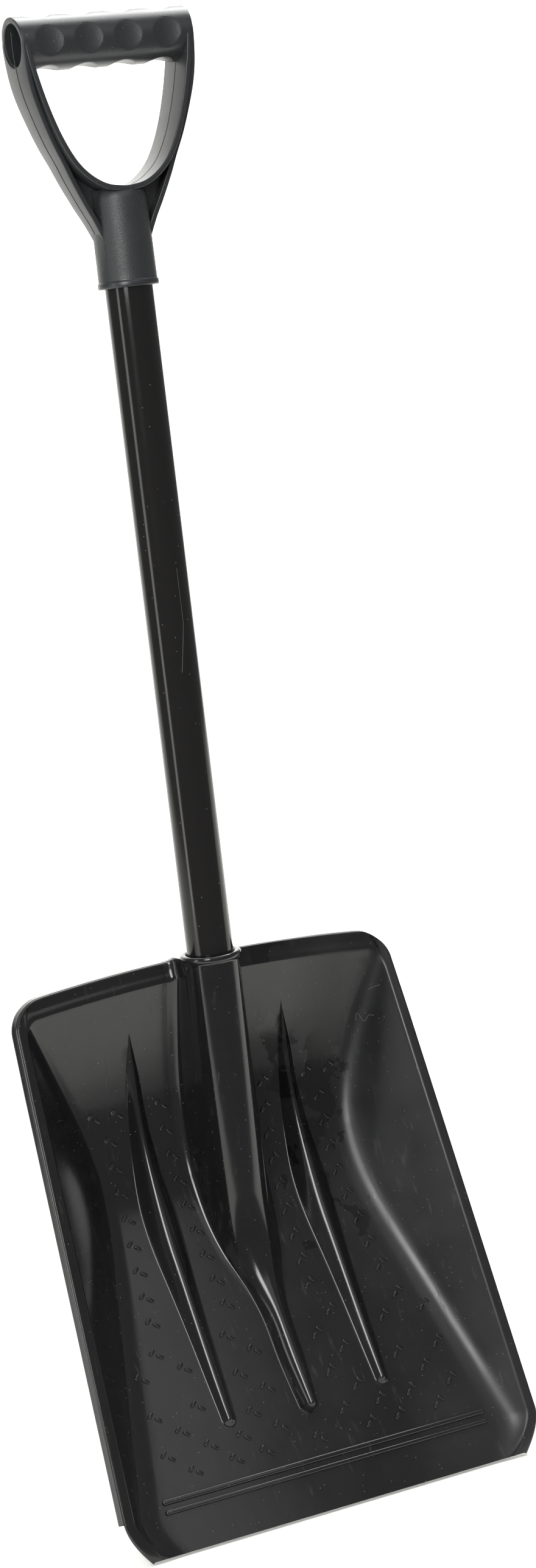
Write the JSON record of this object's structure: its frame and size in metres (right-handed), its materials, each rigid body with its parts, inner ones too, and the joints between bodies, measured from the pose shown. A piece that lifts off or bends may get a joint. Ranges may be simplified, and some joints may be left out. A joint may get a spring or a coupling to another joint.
{
  "type": "snow shovel",
  "caption": "Compact snow shovel: a ribbed, deep-sided plastic scoop on a straight plastic-skinned steel tube with a D-shaped hand grip.",
  "frame": {"origin": "middle of the flat end face of the blade's cutting edge", "axes": "+Z along the shaft from the blade to the grip, +X to the right across the blade, -Y towards the open side of the scoop"},
  "size_m": [0.254, 0.1118, 0.8039],
  "materials": {
    "blade_plastic": "satin-gloss moulded black polypropylene",
    "grip_plastic": "satin moulded dark grey polypropylene, fine spark-eroded grain on the socket and in the finger dimples",
    "shaft_skin": "glossy black plastic skin with faint lengthwise draw lines",
    "steel": "bright zinc-plated steel"
  },
  "bodies": {
    "root": {"blade": "blade_plastic", "d_grip": "grip_plastic", "shaft_skin": "shaft_skin", "shaft_tube": "steel", "blade_screw": "steel", "grip_screw": "steel"}
  },
  "joints": []
}
